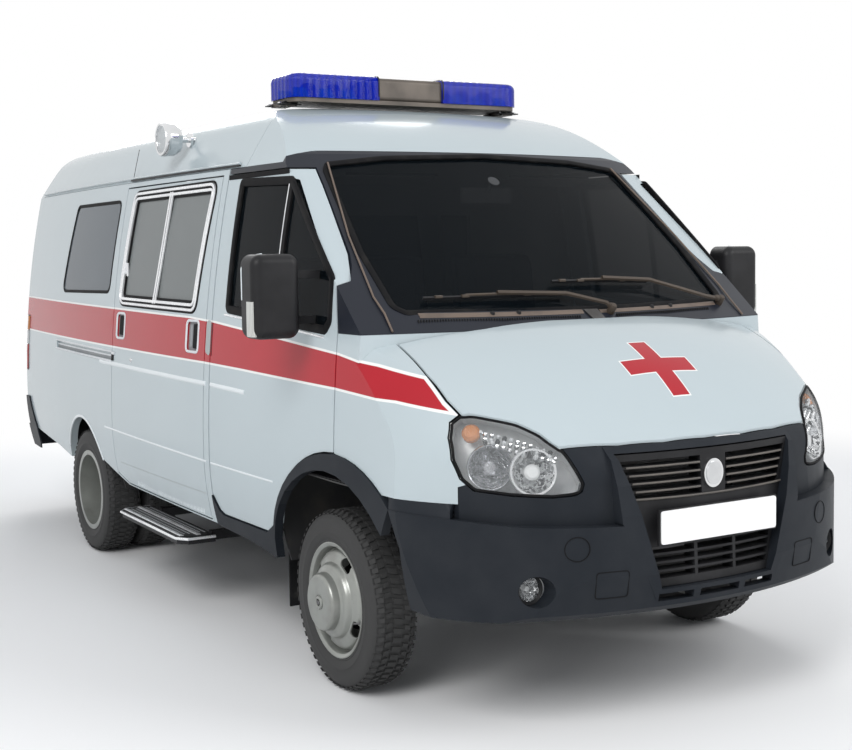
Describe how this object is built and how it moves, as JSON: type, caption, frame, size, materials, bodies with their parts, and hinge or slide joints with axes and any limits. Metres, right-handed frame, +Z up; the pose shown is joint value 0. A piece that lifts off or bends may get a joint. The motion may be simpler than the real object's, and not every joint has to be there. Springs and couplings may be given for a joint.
{
  "type": "ambulance",
  "caption": "High-roof panel van ambulance with opening doors and bonnet, steered front wheels, twin rear wheels and a blue beacon bar.",
  "frame": {"origin": "on the ground under the middle of the vehicle's box", "axes": "+X forward, +Y to the vehicle's left, +Z up"},
  "size_m": [5.5561, 2.464, 2.428],
  "materials": {
    "body_paint": "smooth",
    "bumper_plastic": "matte",
    "black_trim": "matte",
    "window_glass": "tinted",
    "lamp_lens": "clear",
    "beacon_lens": "translucent blue",
    "tail_lens": "gloss",
    "tyre_rubber": "matte",
    "rubber_flap": "matte",
    "wheel_paint": "satin",
    "chassis_paint": "satin",
    "cast_parts": "rough",
    "aluminium_parts": "brushed",
    "bright_lamp": "polished",
    "cab_plastic": "grained",
    "seat_cloth": "woven",
    "lining": "matte",
    "tank_plastic": "matte",
    "exhaust_steel": "dull"
  },
  "bodies": {
    "vehicle_body": {"side_panel_right": "body_paint", "side_panel_left": "body_paint", "roof": "body_paint", "sliding_door": "body_paint", "side_glass": "window_glass", "windscreen_frame": "body_paint", "windscreen": "window_glass", "fenders": "body_paint", "front_lamps": "lamp_lens", "front_bumper": "bumper_plastic", "grille": "bumper_plastic", "floor_pan": "chassis_paint", "dashboard": "cab_plastic", "steering_column": "black_trim", "seats": "seat_cloth", "partition": "lining", "stretcher": "aluminium_parts", "chassis_rails": "chassis_paint", "cross_members": "chassis_paint", "engine_block": "cast_parts", "propeller_shaft": "chassis_paint", "fuel_tank": "tank_plastic", "exhaust": "exhaust_steel", "front_axle": "chassis_paint", "rear_axle": "cast_parts", "leaf_springs": "chassis_paint", "light_bar_base": "aluminium_parts", "light_bar_lenses": "beacon_lens", "searchlight": "bright_lamp", "side_step": "aluminium_parts", "arch_trims": "bumper_plastic", "rear_bumper": "bumper_plastic", "mud_flaps": "rubber_flap", "tail_lamps": "tail_lens"},
    "bonnet_lid": {"bonnet": "body_paint"},
    "front_door_right_set": {"front_door_right": "body_paint", "front_door_glass_right": "window_glass", "mirror_right": "black_trim"},
    "front_door_left_set": {"front_door_left": "body_paint", "front_door_glass_left": "window_glass", "mirror_left": "black_trim"},
    "rear_door_right_set": {"rear_door_right": "body_paint", "rear_door_glass_right": "window_glass"},
    "rear_door_left_set": {"rear_door_left": "body_paint", "rear_door_glass_left": "window_glass"},
    "steering_hub_right": {"knuckle_right": "cast_parts"},
    "steering_hub_left": {"knuckle_left": "cast_parts"},
    "front_wheel_right_set": {"front_wheel_right": "wheel_paint", "front_tyre_right": "tyre_rubber"},
    "front_wheel_left_set": {"front_wheel_left": "wheel_paint", "front_tyre_left": "tyre_rubber"},
    "rear_wheels_right_set": {"rear_wheels_right": "wheel_paint", "rear_tyres_right": "tyre_rubber"},
    "rear_wheels_left_set": {"rear_wheels_left": "wheel_paint", "rear_tyres_left": "tyre_rubber"},
    "steering_wheel_set": {"steering_wheel": "black_trim"}
  },
  "joints": [
    {"name": "bonnet_hinge", "type": "hinge", "parent": "vehicle_body", "child": "bonnet_lid", "pos_m": [2.002, 0, 1.376], "axis": [0, -1, 0], "range_deg": [0, 60]},
    {"name": "front_door_right_hinge", "type": "hinge", "parent": "vehicle_body", "child": "front_door_right_set", "pos_m": [1.84, -0.99, 1], "axis": [0, 0.0614, 0.9981], "range_deg": [0, 70]},
    {"name": "front_door_left_hinge", "type": "hinge", "parent": "vehicle_body", "child": "front_door_left_set", "pos_m": [1.84, 0.99, 1], "axis": [0, 0.0614, -0.9981], "range_deg": [0, 70]},
    {"name": "rear_door_right_hinge", "type": "hinge", "parent": "vehicle_body", "child": "rear_door_right_set", "pos_m": [-2.744, -0.836, 1], "axis": [0, 0, 1], "range_deg": [0, 180]},
    {"name": "rear_door_left_hinge", "type": "hinge", "parent": "vehicle_body", "child": "rear_door_left_set", "pos_m": [-2.744, 0.836, 1], "axis": [0, 0, -1], "range_deg": [0, 180]},
    {"name": "steer_right", "type": "hinge", "parent": "vehicle_body", "child": "steering_hub_right", "pos_m": [1.69, -0.766, 0.338], "axis": [0, 0, 1], "range_deg": [-35, 35]},
    {"name": "steer_left", "type": "hinge", "parent": "vehicle_body", "child": "steering_hub_left", "pos_m": [1.69, 0.766, 0.338], "axis": [0, 0, 1], "range_deg": [-35, 35]},
    {"name": "front_wheel_right_spin", "type": "hinge", "parent": "steering_hub_right", "child": "front_wheel_right_set", "pos_m": [1.69, -0.85, 0.338], "axis": [0, 1, 0], "continuous": true},
    {"name": "front_wheel_left_spin", "type": "hinge", "parent": "steering_hub_left", "child": "front_wheel_left_set", "pos_m": [1.69, 0.85, 0.338], "axis": [0, 1, 0], "continuous": true},
    {"name": "rear_wheels_right_spin", "type": "hinge", "parent": "vehicle_body", "child": "rear_wheels_right_set", "pos_m": [-1.21, -0.78, 0.338], "axis": [0, 1, 0], "continuous": true},
    {"name": "rear_wheels_left_spin", "type": "hinge", "parent": "vehicle_body", "child": "rear_wheels_left_set", "pos_m": [-1.21, 0.78, 0.338], "axis": [0, 1, 0], "continuous": true},
    {"name": "steering_wheel_turn", "type": "hinge", "parent": "vehicle_body", "child": "steering_wheel_set", "pos_m": [1.36, 0.4, 1.2], "axis": [-0.7071, 0, 0.7071], "range_deg": [-525, 525]}
  ],
  "couplings": [
    {"joint": "steer_left", "follows": "steer_right", "ratio": 1},
    {"joint": "steering_wheel_turn", "follows": "steer_right", "ratio": -15}
  ]
}
